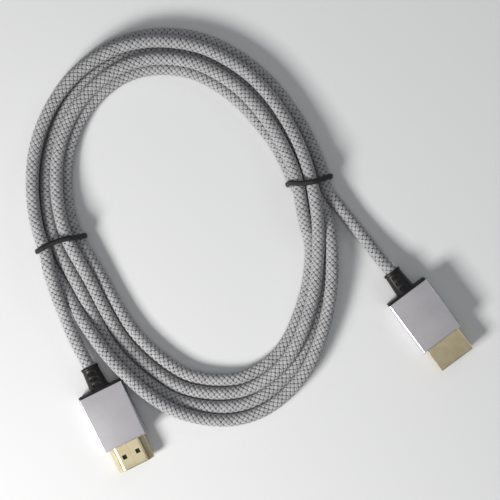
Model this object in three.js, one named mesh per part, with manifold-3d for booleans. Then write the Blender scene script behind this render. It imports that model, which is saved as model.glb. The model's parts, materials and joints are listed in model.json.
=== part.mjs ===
// A coiled, braided audio-video cable: four and a half turns held by two elastic ties,
// with a flat plug in an aluminium sleeve on each end. It lies on a level surface.
// Millimetres, +Z up, the origin on the surface under the middle of the whole cable.
import * as THREE from "three";
import { mergeVertices } from "three/addons/utils/BufferGeometryUtils.js";
import Module from "manifold-3d";

// Clearances
const FACE_GAP = 0.3; // between two pieces that meet face to face
const FIT_GAP = 0.15; // between pieces that are pushed or moulded into each other

// Cable and ties
const CABLE_D = 4.6;
const TIE_D = 1.8;
const TUBE_SIDES = 10;
const TIE_SIDES = 8;
const TIE_STEPS = 44;
const LEAD_STEPS = 9;

// Coil, seen from above: the outer edge is a radius around the coil's middle, every 20 degrees,
// clockwise from where the cable passes under the left tie.
const COIL_MIDDLE = [-23.2, 7.9];
const COIL_START_DEG = 187.6;
const EDGE_STEP_DEG = 20;
const EDGE_RADII = [
  53.8, 58.6, 64.8, 70.6, 73.6, 71.4, 65.4, 59.2, 55.3, 54.1, 56.2, 62.3, 70.4, 73.9, 68.4, 58.6,
  51.9, 50.2,
];
const COIL_STATIONS = 72;
const COIL_SECTION_POINTS = 24;
const COIL_CORE = 0.62; // smallest half height of the coil's section, in cable radii

// Where the passes of the cable lie in the coil: at each angle, every pass has how far its centre
// lies inside the outer edge and how high it is, in cable diameters. The passes are in the order
// in which the cable runs through them. Past the right tie the fifth pass has left the coil.
const LANES = [
  { at: 0, passes: [[0.53, 1.48], [2.26, 1.22], [2.98, 0.5], [1.56, 0.5], [0.5, 0.5]] },
  { at: 40, passes: [[0.53, 1.48], [2.28, 1.24], [3.0, 0.5], [1.58, 0.5], [0.5, 0.5]] },
  { at: 70, passes: [[0.85, 1.42], [2.38, 1.27], [3.1, 0.5], [1.7, 0.5], [0.5, 0.5]] },
  { at: 95, passes: [[1.18, 1.29], [2.5, 1.27], [3.24, 0.5], [1.86, 0.5], [0.5, 0.5]] },
  { at: 130, passes: [[1.22, 1.3], [2.5, 1.28], [3.22, 0.5], [1.86, 0.5], [0.5, 0.5]] },
  { at: 150, passes: [[1.3, 1.4], [2.42, 1.38], [2.9, 0.5], [1.7, 0.5], [0.5, 0.5]] },
  { at: 167, passes: [[1.38, 1.48], [2.36, 1.46], [2.64, 0.5], [1.58, 0.5], [0.5, 0.5]] },
  { at: 181, passes: [[1.44, 1.5], [2.44, 1.2], [1.82, 0.5], [0.78, 0.66]] },
  { at: 196, passes: [[1.55, 1.38], [2.03, 0.5], [1.0, 0.5], [0.52, 1.38]] },
  { at: 230, passes: [[2.06, 1.2], [2.78, 0.5], [1.36, 0.5], [0.52, 1.06]] },
  { at: 250, passes: [[2.42, 0.72], [3.34, 0.5], [1.48, 0.5], [0.5, 0.66]] },
  { at: 265, passes: [[2.6, 0.5], [3.62, 0.5], [1.52, 0.5], [0.5, 0.5]] },
  { at: 285, passes: [[2.26, 0.5], [3.34, 0.5], [1.2, 0.5], [0.52, 1.2]] },
  { at: 310, passes: [[1.94, 0.5], [2.96, 0.5], [0.88, 0.5], [0.52, 1.42]] },
  { at: 340, passes: [[2.2, 0.86], [2.96, 0.5], [1.38, 0.5], [0.48, 0.7]] },
];

// Ties, by their angle around the coil. The cable climbs over each over this many degrees.
const LEFT_TIE_DEG = -2;
const RIGHT_TIE_DEG = 167;
const TIE_SLOPE_DEG = 15;

// Leads, from the coil to the plugs: the points that they follow on their way
const LEAD_A_LEAVES_DEG = -9;
const LEAD_B_LEAVES_DEG = 173;
const LEAD_A_POINTS = [
  [-70.2, -12.2, 6.3],
  [-67.6, -19.4, 5.1],
  [-63.2, -31.8, 3.9],
  [-60.4, -37.6, 4.0],
];
const LEAD_B_POINTS = [
  [31.0, 16.0, 2.7],
  [35.6, 10.5, 2.4],
  [41.4, 3.8, 2.6],
  [46.8, -3.0, 3.6],
];

// Plugs: the middle of the sleeve's front face, seen from above, and the way the plug points
const PLUG_A = { front: [-44.6, -69.3], heading: -63.8, narrowFaceUp: true };
const PLUG_B = { front: [69.1, -32.1], heading: -53.1, narrowFaceUp: false };

// Sleeve and what is moulded in it
const SLEEVE_BESIDE = 1.35; // how far it stands out past the shell on each side
const SLEEVE_ABOVE = 2.075; // and past the shell's two faces
const SLEEVE_L = 21.0;
const SLEEVE_WALL = 0.8;
const SLEEVE_CHAMFER = 1.0;
const SLEEVE_END_BEVEL = 0.3;
const END_PLATE_L = 0.7; // the part of the moulding that covers the sleeve's cable end
const END_PLATE_INSET = 0.1; // how far its edges lie inside the sleeve's
const NOSE_RECESS = 0.5; // how far it stays behind the sleeve's front

// Strain relief
const BOOT_L = 8.6;
const BOOT_MOUTH_D = 6.2;
const BOOT_ROOT_D = 7.1;
const BOOT_SIDES = 24;
const BOOT_SLOTS = 3;
const BOOT_SLOT_W = 1.2;
const BOOT_SLOT_PITCH = 2.4;
const BOOT_SLOT_DEPTH = 1.0;
const BOOT_SLOT_REACH = 2.9;

// Plug shell: a flat tube with a wide face, and a narrow face between stepped corners
const SHELL_W = 13.9;
const SHELL_T = 4.45;
const SHELL_REACH = 9.1; // out of the sleeve
const SHELL_ROOT = 4.0; // inside the sleeve
const SHELL_WALL = 0.35;
const SHELL_SIDE_T = 2.3; // height of its upright sides
const SHELL_NARROW_W = 9.2; // width of the narrow face
const SHELL_STEP_W = 10.8; // width at the foot of the stepped corners
const SHELL_STEP_T = 0.6; // height of their upright foot
const WINDOW_SIZE = 1.6;
const WINDOW_SPACING = 5.2;
const WINDOW_FROM_TIP = 4.7;

// Contact carrier inside the shell, and its two rows of contacts
const CARRIER_RECESS = 0.5;
const CARRIER_ROOT = 3.4;
const CARRIER_SLOT_W = 11.0;
const CARRIER_SLOT_T = 1.6;
const CARRIER_SLOT_L = 7.4;
const CARRIER_SLOT_RAISE = 0.3; // towards the wide face
const CONTACT_PITCH = 1.0;
const CONTACT_W = 0.45;
const CONTACT_T = 0.22;
const CONTACT_ROWS = { upper: 10, lower: 9 };
const CONTACT_RECESS = 0.7;
const CONTACT_STRIP_L = 0.8;

// Finishes
const braid = finish("#8b8c92", 0.85, 0);
const elastic = finish("#141416", 0.6, 0);
const blackMoulding = finish("#17181a", 0.5, 0);
const anodised = finish("#a9a7ad", 0.38, 0.85);
const gold = finish("#d3bd7c", 0.28, 1);
const carrierPlastic = finish("#101012", 0.45, 0);

const CABLE_R = CABLE_D / 2;
const TIE_LIFT = TIE_D + FACE_GAP;
const SLEEVE_W = SHELL_W + 2 * SLEEVE_BESIDE;
const SLEEVE_T = SHELL_T + 2 * SLEEVE_ABOVE;
const SLEEVE_BACK = SLEEVE_L + FIT_GAP + END_PLATE_L; // from the sleeve's front to the boot
const COIL_TURN_DEG = 360;

const wasm = await Module();
wasm.setup();

function finish(color, roughness, metalness) {
  return new THREE.MeshStandardMaterial({ color, roughness, metalness });
}

// Joins and cuts of closed shapes
function toSolid(geometry) {
  const bare = geometry.clone();
  bare.deleteAttribute("normal");
  bare.deleteAttribute("uv");
  const merged = mergeVertices(bare, 1e-4);
  return new wasm.Manifold(
    new wasm.Mesh({
      numProp: 3,
      vertProperties: new Float32Array(merged.attributes.position.array),
      triVerts: new Uint32Array(merged.index.array),
    }),
  );
}

function toGeometry(solid) {
  const mesh = solid.getMesh();
  const geometry = new THREE.BufferGeometry();
  geometry.setAttribute("position", new THREE.BufferAttribute(mesh.vertProperties, 3));
  geometry.setIndex(new THREE.BufferAttribute(mesh.triVerts, 1));
  geometry.computeVertexNormals();
  return geometry;
}

function cutAway(geometry, cutters) {
  return toGeometry(cutters.reduce((left, cutter) => left.subtract(toSolid(cutter)), toSolid(geometry)));
}

function block(length, width, height, x, y, z) {
  return new THREE.BoxGeometry(length, width, height).translate(x, y, z);
}

// The value at an angle of a smooth curve through evenly spaced values that close on themselves
function aroundValue(values, angle) {
  const place = THREE.MathUtils.euclideanModulo(angle, COIL_TURN_DEG) / EDGE_STEP_DEG;
  const first = Math.floor(place);
  const pick = (k) => values[THREE.MathUtils.euclideanModulo(first + k, values.length)];
  return hermite(pick(0), pick(1), (pick(1) - pick(-1)) / 2, (pick(2) - pick(0)) / 2, place - first);
}

function hermite(from, to, slopeFrom, slopeTo, t) {
  const t2 = t * t;
  const t3 = t2 * t;
  const ends = (2 * t3 - 3 * t2 + 1) * from + (3 * t2 - 2 * t3) * to;
  return ends + (t3 - 2 * t2 + t) * slopeFrom + (t3 - t2) * slopeTo;
}

function edgePoint(angle) {
  const heading = THREE.MathUtils.degToRad(COIL_START_DEG - angle);
  const radius = aroundValue(EDGE_RADII, angle);
  const [x, y] = COIL_MIDDLE;
  return new THREE.Vector2(x + radius * Math.cos(heading), y + radius * Math.sin(heading));
}

// The direction from the coil's outer edge to its inside, square to the edge
function inwardAt(angle) {
  const along = edgePoint(angle + 1).sub(edgePoint(angle - 1)).normalize();
  return new THREE.Vector2(along.y, -along.x);
}

// Every place that the lanes give, in the order in which the cable runs through the coil
const laneStops = [0, 1, 2, 3, 4].flatMap((pass) =>
  LANES.filter(({ passes }) => pass < passes.length).map(({ at, passes }) => ({
    angle: at + pass * COIL_TURN_DEG,
    inside: passes[pass][0] * CABLE_D,
    height: passes[pass][1] * CABLE_D,
  })),
);

function laneAt(angle) {
  const last = laneStops.length - 1;
  const found = laneStops.findIndex((stop) => stop.angle > angle);
  const first = found < 0 ? last - 1 : Math.max(found - 1, 0);
  const stops = [first - 1, first, first + 1, first + 2].map((k) => laneStops[Math.min(Math.max(k, 0), last)]);
  const [before, from, to, after] = stops;
  const span = to.angle - from.angle;
  const t = THREE.MathUtils.clamp((angle - from.angle) / span, 0, 1);
  const value = (key) => {
    const slope = (a, b) => (span * (b[key] - a[key])) / Math.max(b.angle - a.angle, 1);
    return hermite(from[key], to[key], slope(before, to), slope(from, after), t);
  };
  return { inside: value("inside"), height: Math.max(value("height"), CABLE_R) };
}

// How far the cable is lifted where it lies on the two ties
function tieLift(angle) {
  const away = (tie) => {
    const turned = THREE.MathUtils.euclideanModulo(angle - tie + 180, COIL_TURN_DEG) - 180;
    return Math.exp(-((turned / TIE_SLOPE_DEG) ** 2));
  };
  return TIE_LIFT * Math.max(away(LEFT_TIE_DEG), away(RIGHT_TIE_DEG));
}

// The centres of all passes in the coil's section at an angle: how far inside, and how high
function sectionAt(angle) {
  const ends = [LEAD_A_LEAVES_DEG, LEAD_B_LEAVES_DEG + 4 * COIL_TURN_DEG];
  const base = THREE.MathUtils.euclideanModulo(angle, COIL_TURN_DEG);
  return [-1, 0, 1, 2, 3, 4]
    .map((turn) => base + turn * COIL_TURN_DEG)
    .filter((total) => total >= ends[0] && total <= ends[1])
    .map((total) => {
      const lane = laneAt(total);
      return new THREE.Vector2(lane.inside, lane.height + tieLift(total));
    });
}

// A point of the cable in the coil, by its angle from the left tie counted through every turn
function cablePoint(angle) {
  const lane = laneAt(angle);
  const flat = edgePoint(angle).addScaledVector(inwardAt(angle), lane.inside);
  return new THREE.Vector3(flat.x, flat.y, lane.height + tieLift(angle));
}

// A closed ring whose every vertex is placed by where it is around the ring and around its section
function ringGeometry(stations, sectionPoints, place) {
  const ring = new THREE.TorusGeometry(2, 1, sectionPoints, stations);
  ring.deleteAttribute("normal");
  ring.deleteAttribute("uv");
  const geometry = mergeVertices(ring, 1e-3);
  const points = geometry.attributes.position;
  for (let i = 0; i < points.count; i++) {
    const [x, y, z] = [points.getX(i), points.getY(i), points.getZ(i)];
    const placed = place(Math.atan2(y, x), Math.atan2(z, Math.hypot(x, y) - 2));
    points.setXYZ(i, placed.x, placed.y, placed.z);
  }
  geometry.computeVertexNormals();
  return geometry;
}

// How far a section made of equal discs reaches from a point in a direction
function sectionReach(discs, from, direction) {
  const reaches = discs.map((disc) => {
    const toDisc = disc.clone().sub(from);
    const along = toDisc.dot(direction);
    const aside2 = toDisc.lengthSq() - along * along;
    return aside2 < CABLE_R ** 2 ? along + Math.sqrt(CABLE_R ** 2 - aside2) : 0;
  });
  return Math.max(COIL_CORE * CABLE_R, ...reaches);
}

function makeCoil() {
  const cutters = [leadTube(leadA, CABLE_R + FACE_GAP), leadTube(leadB, CABLE_R + FACE_GAP)];
  const ring = ringGeometry(COIL_STATIONS, COIL_SECTION_POINTS, (u, v) => {
    const angle = COIL_START_DEG - THREE.MathUtils.radToDeg(u);
    const discs = sectionAt(angle);
    const box = new THREE.Box2().setFromPoints(discs).expandByScalar(CABLE_R);
    const middle = box.getCenter(new THREE.Vector2());
    const size = box.getSize(new THREE.Vector2());
    const direction = new THREE.Vector2(-size.x * Math.cos(v), size.y * Math.sin(v)).normalize();
    const reach = middle.clone().addScaledVector(direction, sectionReach(discs, middle, direction));
    const flat = edgePoint(angle).addScaledVector(inwardAt(angle), reach.x);
    return new THREE.Vector3(flat.x, flat.y, reach.y);
  });
  return cutAway(ring, cutters);
}

// A tie is a tight loop: it follows the outside of the passes, and is straight between them
function makeTie(angle) {
  const discs = sectionAt(angle);
  const away = CABLE_R + FACE_GAP + TIE_D / 2;
  const edge = edgePoint(angle);
  const inward = inwardAt(angle);
  const axis = new THREE.Vector3(inward.y, -inward.x, 0);
  return ringGeometry(TIE_STEPS, TIE_SIDES, (u, v) => {
    const outward = new THREE.Vector2(Math.cos(u), Math.sin(u));
    const carrier = discs.reduce((best, disc) => (disc.dot(outward) > best.dot(outward) ? disc : best));
    const inPlane = carrier.clone().addScaledVector(outward, away + (TIE_D / 2) * Math.cos(v));
    const flat = edge.clone().addScaledVector(inward, inPlane.x);
    return new THREE.Vector3(flat.x, flat.y, inPlane.y).addScaledVector(axis, (TIE_D / 2) * Math.sin(v));
  });
}

// Where the cable goes into a plug's strain relief
function bootMouth(plug) {
  const heading = THREE.MathUtils.degToRad(plug.heading);
  const back = SLEEVE_BACK + BOOT_L + FACE_GAP;
  const [x, y] = plug.front;
  return new THREE.Vector3(x - back * Math.cos(heading), y - back * Math.sin(heading), SLEEVE_T / 2);
}

function leadCurve(start, points, plug) {
  const through = points.map((point) => new THREE.Vector3(...point));
  return new THREE.CatmullRomCurve3([start, ...through, bootMouth(plug)]);
}

const leadA = leadCurve(cablePoint(LEAD_A_LEAVES_DEG), LEAD_A_POINTS, PLUG_A);
const leadB = leadCurve(cablePoint(LEAD_B_LEAVES_DEG + 4 * COIL_TURN_DEG), LEAD_B_POINTS, PLUG_B);

function leadTube(curve, radius) {
  const section = new THREE.Shape().absarc(0, 0, radius, 0, 2 * Math.PI);
  return new THREE.ExtrudeGeometry(section, {
    steps: LEAD_STEPS,
    curveSegments: TUBE_SIDES,
    bevelEnabled: false,
    extrudePath: curve,
  });
}

// A plug's own pieces: X points to its tip with 0 at the sleeve's front, and +Z to its wide face
function cutCornerOutline(width, height, corner) {
  const [w, h] = [width / 2, height / 2];
  const corners = [
    [w - corner, -h], [w, -h + corner], [w, h - corner], [w - corner, h],
    [corner - w, h], [-w, h - corner], [-w, corner - h], [corner - w, -h],
  ];
  return corners.map(([y, z]) => new THREE.Vector2(y, z));
}

// The shell's outline: the narrow face is at the bottom, between the stepped corners
function shellOutline() {
  const side = SHELL_T / 2 - SHELL_SIDE_T;
  const foot = SHELL_STEP_T - SHELL_T / 2;
  const half = [
    [SHELL_NARROW_W / 2, -SHELL_T / 2], [SHELL_STEP_W / 2, foot], [SHELL_W / 2, side], [SHELL_W / 2, SHELL_T / 2],
  ];
  const right = half.map(([y, z]) => new THREE.Vector2(y, z));
  const left = half.map(([y, z]) => new THREE.Vector2(-y, z)).reverse();
  return [...right, ...left];
}

// The outline that lies a distance inside another one, whose corners run anticlockwise
function inset(outline, distance) {
  const edgeFrom = (k) => {
    const from = outline[k % outline.length];
    const along = outline[(k + 1) % outline.length].clone().sub(from).normalize();
    const inward = new THREE.Vector2(-along.y, along.x);
    return { inward, offset: from.dot(inward) + distance };
  };
  return outline.map((_, k) => {
    const one = edgeFrom(k + outline.length - 1);
    const two = edgeFrom(k);
    const across = one.inward.cross(two.inward);
    return new THREE.Vector2(
      (one.offset * two.inward.y - two.offset * one.inward.y) / across,
      (two.offset * one.inward.x - one.offset * two.inward.x) / across,
    );
  });
}

// Extrudes an outline of (Y, Z) points along X
function alongX(outline, from, to, hole, bevel = 0) {
  const shape = new THREE.Shape(outline);
  if (hole) shape.holes.push(new THREE.Path(hole));
  const geometry = new THREE.ExtrudeGeometry(shape, {
    depth: to - from - 2 * bevel,
    bevelEnabled: bevel > 0,
    bevelThickness: bevel,
    bevelSize: bevel,
    bevelOffset: -bevel,
    bevelSegments: 1,
  });
  const turn = new THREE.Matrix4().makeBasis(
    new THREE.Vector3(0, 1, 0),
    new THREE.Vector3(0, 0, 1),
    new THREE.Vector3(1, 0, 0),
  );
  return geometry.applyMatrix4(turn).translate(from + bevel, 0, 0);
}

function makeSleeve() {
  const bore = cutCornerOutline(SLEEVE_W - 2 * SLEEVE_WALL, SLEEVE_T - 2 * SLEEVE_WALL, SLEEVE_CHAMFER / 2);
  const outside = cutCornerOutline(SLEEVE_W, SLEEVE_T, SLEEVE_CHAMFER);
  return alongX(outside, -SLEEVE_L, 0, bore, SLEEVE_END_BEVEL);
}

function makeOvermold() {
  const around = SLEEVE_WALL + FIT_GAP;
  const outline = cutCornerOutline(SLEEVE_W - 2 * around, SLEEVE_T - 2 * around, SLEEVE_CHAMFER / 2);
  const back = -SLEEVE_BACK;
  const body = alongX(outline, back, -NOSE_RECESS);
  const plateOutline = inset(cutCornerOutline(SLEEVE_W, SLEEVE_T, SLEEVE_CHAMFER), END_PLATE_INSET);
  const plate = alongX(plateOutline, back, back + END_PLATE_L);
  const pocket = alongX(inset(shellOutline(), -FIT_GAP), -SHELL_ROOT - FACE_GAP, 1);
  const bootRoot = 1; // how far the boot reaches into the body that it is moulded on
  const boot = new THREE.CylinderGeometry(BOOT_ROOT_D / 2, BOOT_MOUTH_D / 2, BOOT_L, BOOT_SIDES);
  boot.rotateZ(-Math.PI / 2).translate(back - BOOT_L / 2, 0, 0);
  const root = new THREE.CylinderGeometry(BOOT_ROOT_D / 2, BOOT_ROOT_D / 2, 2 * bootRoot, BOOT_SIDES);
  root.rotateZ(-Math.PI / 2).translate(back, 0, 0);
  const slots = [];
  for (let k = 0; k < BOOT_SLOTS; k++) {
    const x = back - BOOT_L / 2 + (k - (BOOT_SLOTS - 1) / 2) * BOOT_SLOT_PITCH;
    const floor = BOOT_MOUTH_D / 2 - BOOT_SLOT_DEPTH;
    for (const side of [1, -1]) {
      slots.push(block(BOOT_SLOT_W, BOOT_SLOT_REACH, BOOT_ROOT_D, x, 0, side * (floor + BOOT_ROOT_D / 2)));
    }
  }
  const joined = toSolid(body).add(toSolid(plate)).add(toSolid(boot)).add(toSolid(root));
  return toGeometry([pocket, ...slots].reduce((left, cutter) => left.subtract(toSolid(cutter)), joined));
}

function makeShell() {
  const tube = alongX(shellOutline(), -SHELL_ROOT, SHELL_REACH, inset(shellOutline(), SHELL_WALL));
  const x = SHELL_REACH - WINDOW_FROM_TIP;
  const z = -SHELL_T / 2;
  const windows = [1, -1].map((side) =>
    block(WINDOW_SIZE, WINDOW_SIZE, 4 * SHELL_WALL, x, (side * WINDOW_SPACING) / 2, z),
  );
  return cutAway(tube, windows);
}

function makeCarrier() {
  const front = SHELL_REACH - CARRIER_RECESS;
  const body = alongX(inset(shellOutline(), SHELL_WALL + FIT_GAP), -CARRIER_ROOT, front);
  const slotX = front - CARRIER_SLOT_L / 2;
  const overcut = 1;
  const slot = block(CARRIER_SLOT_L + 2 * overcut, CARRIER_SLOT_W, CARRIER_SLOT_T, slotX + overcut, 0, CARRIER_SLOT_RAISE);
  return cutAway(body, [slot]);
}

// A row of contacts lies along a wall of the carrier's slot, on the strip that holds their roots
function makeContacts(count, side) {
  const tip = SHELL_REACH - CARRIER_RECESS - CONTACT_RECESS;
  const root = SHELL_REACH - CARRIER_RECESS - CARRIER_SLOT_L + FIT_GAP;
  const outline = [new THREE.Vector2(root, (-count / 2) * CONTACT_PITCH)];
  for (let k = 0; k < count; k++) {
    const y = (k - (count - 1) / 2) * CONTACT_PITCH;
    for (const [x, edge] of [[root + CONTACT_STRIP_L, -1], [tip, -1], [tip, 1], [root + CONTACT_STRIP_L, 1]]) {
      outline.push(new THREE.Vector2(x, y + (edge * CONTACT_W) / 2));
    }
  }
  outline.push(new THREE.Vector2(root, (count / 2) * CONTACT_PITCH));
  const geometry = new THREE.ExtrudeGeometry(new THREE.Shape(outline), { depth: CONTACT_T, bevelEnabled: false });
  const wall = CARRIER_SLOT_T / 2 - FIT_GAP - CONTACT_T / 2;
  return geometry.translate(0, 0, CARRIER_SLOT_RAISE + side * wall - CONTACT_T / 2);
}

function named(name, geometry, material) {
  const mesh = new THREE.Mesh(geometry, material);
  mesh.name = name;
  return mesh;
}

function makePlug(prefix, plug) {
  const turned = new THREE.Group();
  turned.rotation.x = plug.narrowFaceUp ? Math.PI : 0;
  turned.add(
    named(`${prefix}_sleeve`, makeSleeve(), anodised),
    named(`${prefix}_overmold`, makeOvermold(), blackMoulding),
    named(`${prefix}_shell`, makeShell(), gold),
    named(`${prefix}_carrier`, makeCarrier(), carrierPlastic),
    named(`${prefix}_contacts_upper`, makeContacts(CONTACT_ROWS.upper, 1), gold),
    named(`${prefix}_contacts_lower`, makeContacts(CONTACT_ROWS.lower, -1), gold),
  );
  const placed = new THREE.Group();
  placed.position.set(...plug.front, SLEEVE_T / 2);
  placed.rotation.z = THREE.MathUtils.degToRad(plug.heading);
  return placed.add(turned);
}

const cable = new THREE.Group();
cable.add(
  named("cable_coil", makeCoil(), braid),
  named("cable_lead_a", leadTube(leadA, CABLE_R), braid),
  named("cable_lead_b", leadTube(leadB, CABLE_R), braid),
  named("tie_left", makeTie(LEFT_TIE_DEG), elastic),
  named("tie_right", makeTie(RIGHT_TIE_DEG), elastic),
  makePlug("plug_a", PLUG_A),
  makePlug("plug_b", PLUG_B),
);

export default cable;
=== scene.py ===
"""A coiled, braided audio-video cable with a flat plug on each end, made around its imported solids."""

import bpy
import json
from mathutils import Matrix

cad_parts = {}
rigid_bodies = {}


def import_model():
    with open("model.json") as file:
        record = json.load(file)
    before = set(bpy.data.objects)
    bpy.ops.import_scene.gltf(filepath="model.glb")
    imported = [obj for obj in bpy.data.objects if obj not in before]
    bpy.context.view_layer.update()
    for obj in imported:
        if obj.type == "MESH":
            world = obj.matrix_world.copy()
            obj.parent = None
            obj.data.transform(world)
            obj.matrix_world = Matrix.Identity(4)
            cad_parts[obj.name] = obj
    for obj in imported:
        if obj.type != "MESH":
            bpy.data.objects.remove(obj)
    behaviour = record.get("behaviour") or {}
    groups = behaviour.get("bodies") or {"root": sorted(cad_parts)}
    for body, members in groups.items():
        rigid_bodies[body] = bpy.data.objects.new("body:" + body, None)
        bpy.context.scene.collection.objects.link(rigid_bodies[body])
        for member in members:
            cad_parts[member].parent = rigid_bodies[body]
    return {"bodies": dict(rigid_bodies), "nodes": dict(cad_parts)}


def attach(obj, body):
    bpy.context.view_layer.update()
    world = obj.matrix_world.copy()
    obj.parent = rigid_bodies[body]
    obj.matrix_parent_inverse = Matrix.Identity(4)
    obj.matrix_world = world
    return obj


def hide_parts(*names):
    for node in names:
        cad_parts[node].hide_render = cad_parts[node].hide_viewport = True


bl_info = {
    "name": "Braided cable builder",
    "version": (1, 0, 0),
    "blender": (4, 5, 0),
    "location": "3D View > Sidebar > Cable",
    "description": "Makes the braid, turns, ties and plugs of a coiled audio-video cable",
    "category": "Object",
}

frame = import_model()

import json
import math

import bmesh
import bpy
import numpy as np
from mathutils import Matrix, Vector

MM = 0.001
BODY = next(iter(frame["bodies"]))
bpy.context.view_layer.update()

# Coil, in millimetres and degrees: its outer edge is a radius around its middle every 20 degrees,
# clockwise from where the cable passes under the left tie.
CABLE_D = 4.6
COIL_MIDDLE = (-23.2, 7.9)
COIL_START_DEG = 187.6
EDGE_STEP_DEG = 20
EDGE_RADII = (
    53.8, 58.6, 64.8, 70.6, 73.6, 71.4, 65.4, 59.2, 55.3, 54.1, 56.2, 62.3, 70.4, 73.9, 68.4, 58.6,
    51.9, 50.2,
)
TURN_DEG = 360

# Where the passes of the cable lie, at each angle: how far inside the outer edge and how high,
# in cable diameters. Past the right tie the fifth pass has left the coil.
LANES = (
    (0, ((0.53, 1.48), (2.42, 1.2), (3.1, 0.5), (1.56, 1.0), (0.6, 0.5))),
    (40, ((0.53, 1.48), (2.28, 1.24), (3.0, 0.5), (1.58, 0.5), (0.5, 0.5))),
    (70, ((0.85, 1.42), (2.38, 1.27), (3.1, 0.5), (1.7, 0.5), (0.5, 0.5))),
    (95, ((1.18, 1.29), (2.5, 1.27), (3.24, 0.5), (1.86, 0.5), (0.5, 0.5))),
    (130, ((1.22, 1.3), (2.5, 1.28), (3.22, 0.5), (1.86, 0.5), (0.5, 0.5))),
    (150, ((1.3, 1.4), (2.42, 1.38), (2.9, 0.5), (1.7, 0.5), (0.5, 0.5))),
    (167, ((1.38, 1.48), (2.36, 1.46), (2.64, 0.5), (1.58, 0.5), (0.5, 0.5))),
    (181, ((1.44, 1.5), (2.44, 1.2), (1.82, 0.5), (0.78, 0.66))),
    (196, ((1.55, 1.38), (2.03, 0.5), (1.0, 0.5), (0.52, 1.38))),
    (230, ((2.06, 1.2), (2.78, 0.5), (1.36, 0.5), (0.52, 1.06))),
    (250, ((2.42, 0.72), (3.34, 0.5), (1.48, 0.5), (0.5, 0.66))),
    (265, ((2.6, 0.5), (3.62, 0.5), (1.52, 0.5), (0.5, 0.5))),
    (285, ((2.26, 0.5), (3.34, 0.5), (1.2, 0.5), (0.52, 1.2))),
    (310, ((1.94, 0.5), (2.96, 0.5), (0.88, 0.5), (0.52, 1.42))),
    (340, ((2.34, 0.9), (3.12, 0.5), (1.42, 0.9), (0.56, 0.5))),
)
PASSES = 5

# Ties, and where the leads leave the coil
LEFT_TIE_DEG = -2
RIGHT_TIE_DEG = 167
TIE_SLOPE_DEG = 15
TIE_W = 1.9  # along the cable
TIE_T = 1.1
TIE_SNUG = 0.06  # between a tie and the cable
LEAD_A_LEAVES_DEG = -3
LEAD_B_LEAVES_DEG = 173
LEAD_A_POINTS = (
    (-71.9, -7.4, 8.3), (-70.4, -12.6, 6.7), (-68.2, -19.4, 5.1), (-63.3, -31.8, 3.9), (-60.4, -37.6, 4.0),
)
LEAD_B_POINTS = ((31.0, 16.0, 2.7), (35.6, 10.5, 2.4), (41.4, 3.8, 2.6), (46.8, -3.0, 3.6))

# Plugs: the middle of the sleeve's front face, the way the plug points, and which face is up
PLUGS = {
    "plug_a": {"front": (-44.6, -69.3), "heading": -63.8, "narrow_up": True},
    "plug_b": {"front": (69.1, -32.1), "heading": -53.1, "narrow_up": False},
}
SHELL_W = 13.9
SHELL_T = 4.45
SHELL_REACH = 9.1
SHELL_ROOT = 4.0
SHELL_WALL = 0.35
SLEEVE_L = 21.0
SLEEVE_BESIDE = 1.35  # how far it stands out past the shell on each side
SLEEVE_ABOVE = 2.075  # and past the shell's two faces
SLEEVE_W = SHELL_W + 2 * SLEEVE_BESIDE
SLEEVE_T = SHELL_T + 2 * SLEEVE_ABOVE
SLEEVE_WALL = 0.8
SLEEVE_CUT = (0.42, 0.24)  # of its long edges, across and down
SLEEVE_BACK_BEVEL = 0.12
SLEEVE_FRONT_BEVEL = 0.28
BORE_CUT = 0.3  # of the corners of the sleeve's bore and of the moulding in it
FIT_GAP = 0.15  # between pieces that fit in each other
SHELL_BACK_GAP = 0.3  # behind the shell in its pocket
MOULDING_BACK = 0.5  # from the sleeve's front to the moulding's
END_PLATE_L = 0.7
END_PLATE_INSET = 0.1
END_PLATE_CUT = 0.6
END_PLATE_BEVEL = 0.18
SLEEVE_BACK = SLEEVE_L + FIT_GAP + END_PLATE_L
BOOT_L = 8.6
BOOT_MOUTH_D = 6.2
BOOT_ROOT_D = 7.1
BOOT_SIDES = 64
BOOT_HOLE_GAP = 0.16  # around the cable
MOUTH_DEPTH = 1.2  # how far the cable goes into a strain relief
SLOT_SPACING = 2.25
SLOT_SHIFT = 0.5  # of the middle slot, to the plug
SLOT_REACH = 1.05  # from its middle to a round end's
SLOT_RADIUS = 0.6
SLOT_END_STEPS = 11
SLOT_DEPTH = 0.5  # under the strain relief's surface at its mouth
BAR_DEPTH = 0.56
BAR_RADII = (0.32, 1.2, 0.36)
TIP_BEVEL = 0.12
TIP_BEVEL_L = 0.22
WINDOW_BACK = 4.7  # from the tip to the middle of a window
WINDOW_SIDE = 2.6
WINDOW_HALF = 0.8
SEAM_HALF = 0.05
SEAM_DEPTH = 0.12
OVERSHOOT = 1  # how far a cutter reaches past what it cuts


# Sizes and colours that a user would change

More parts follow.
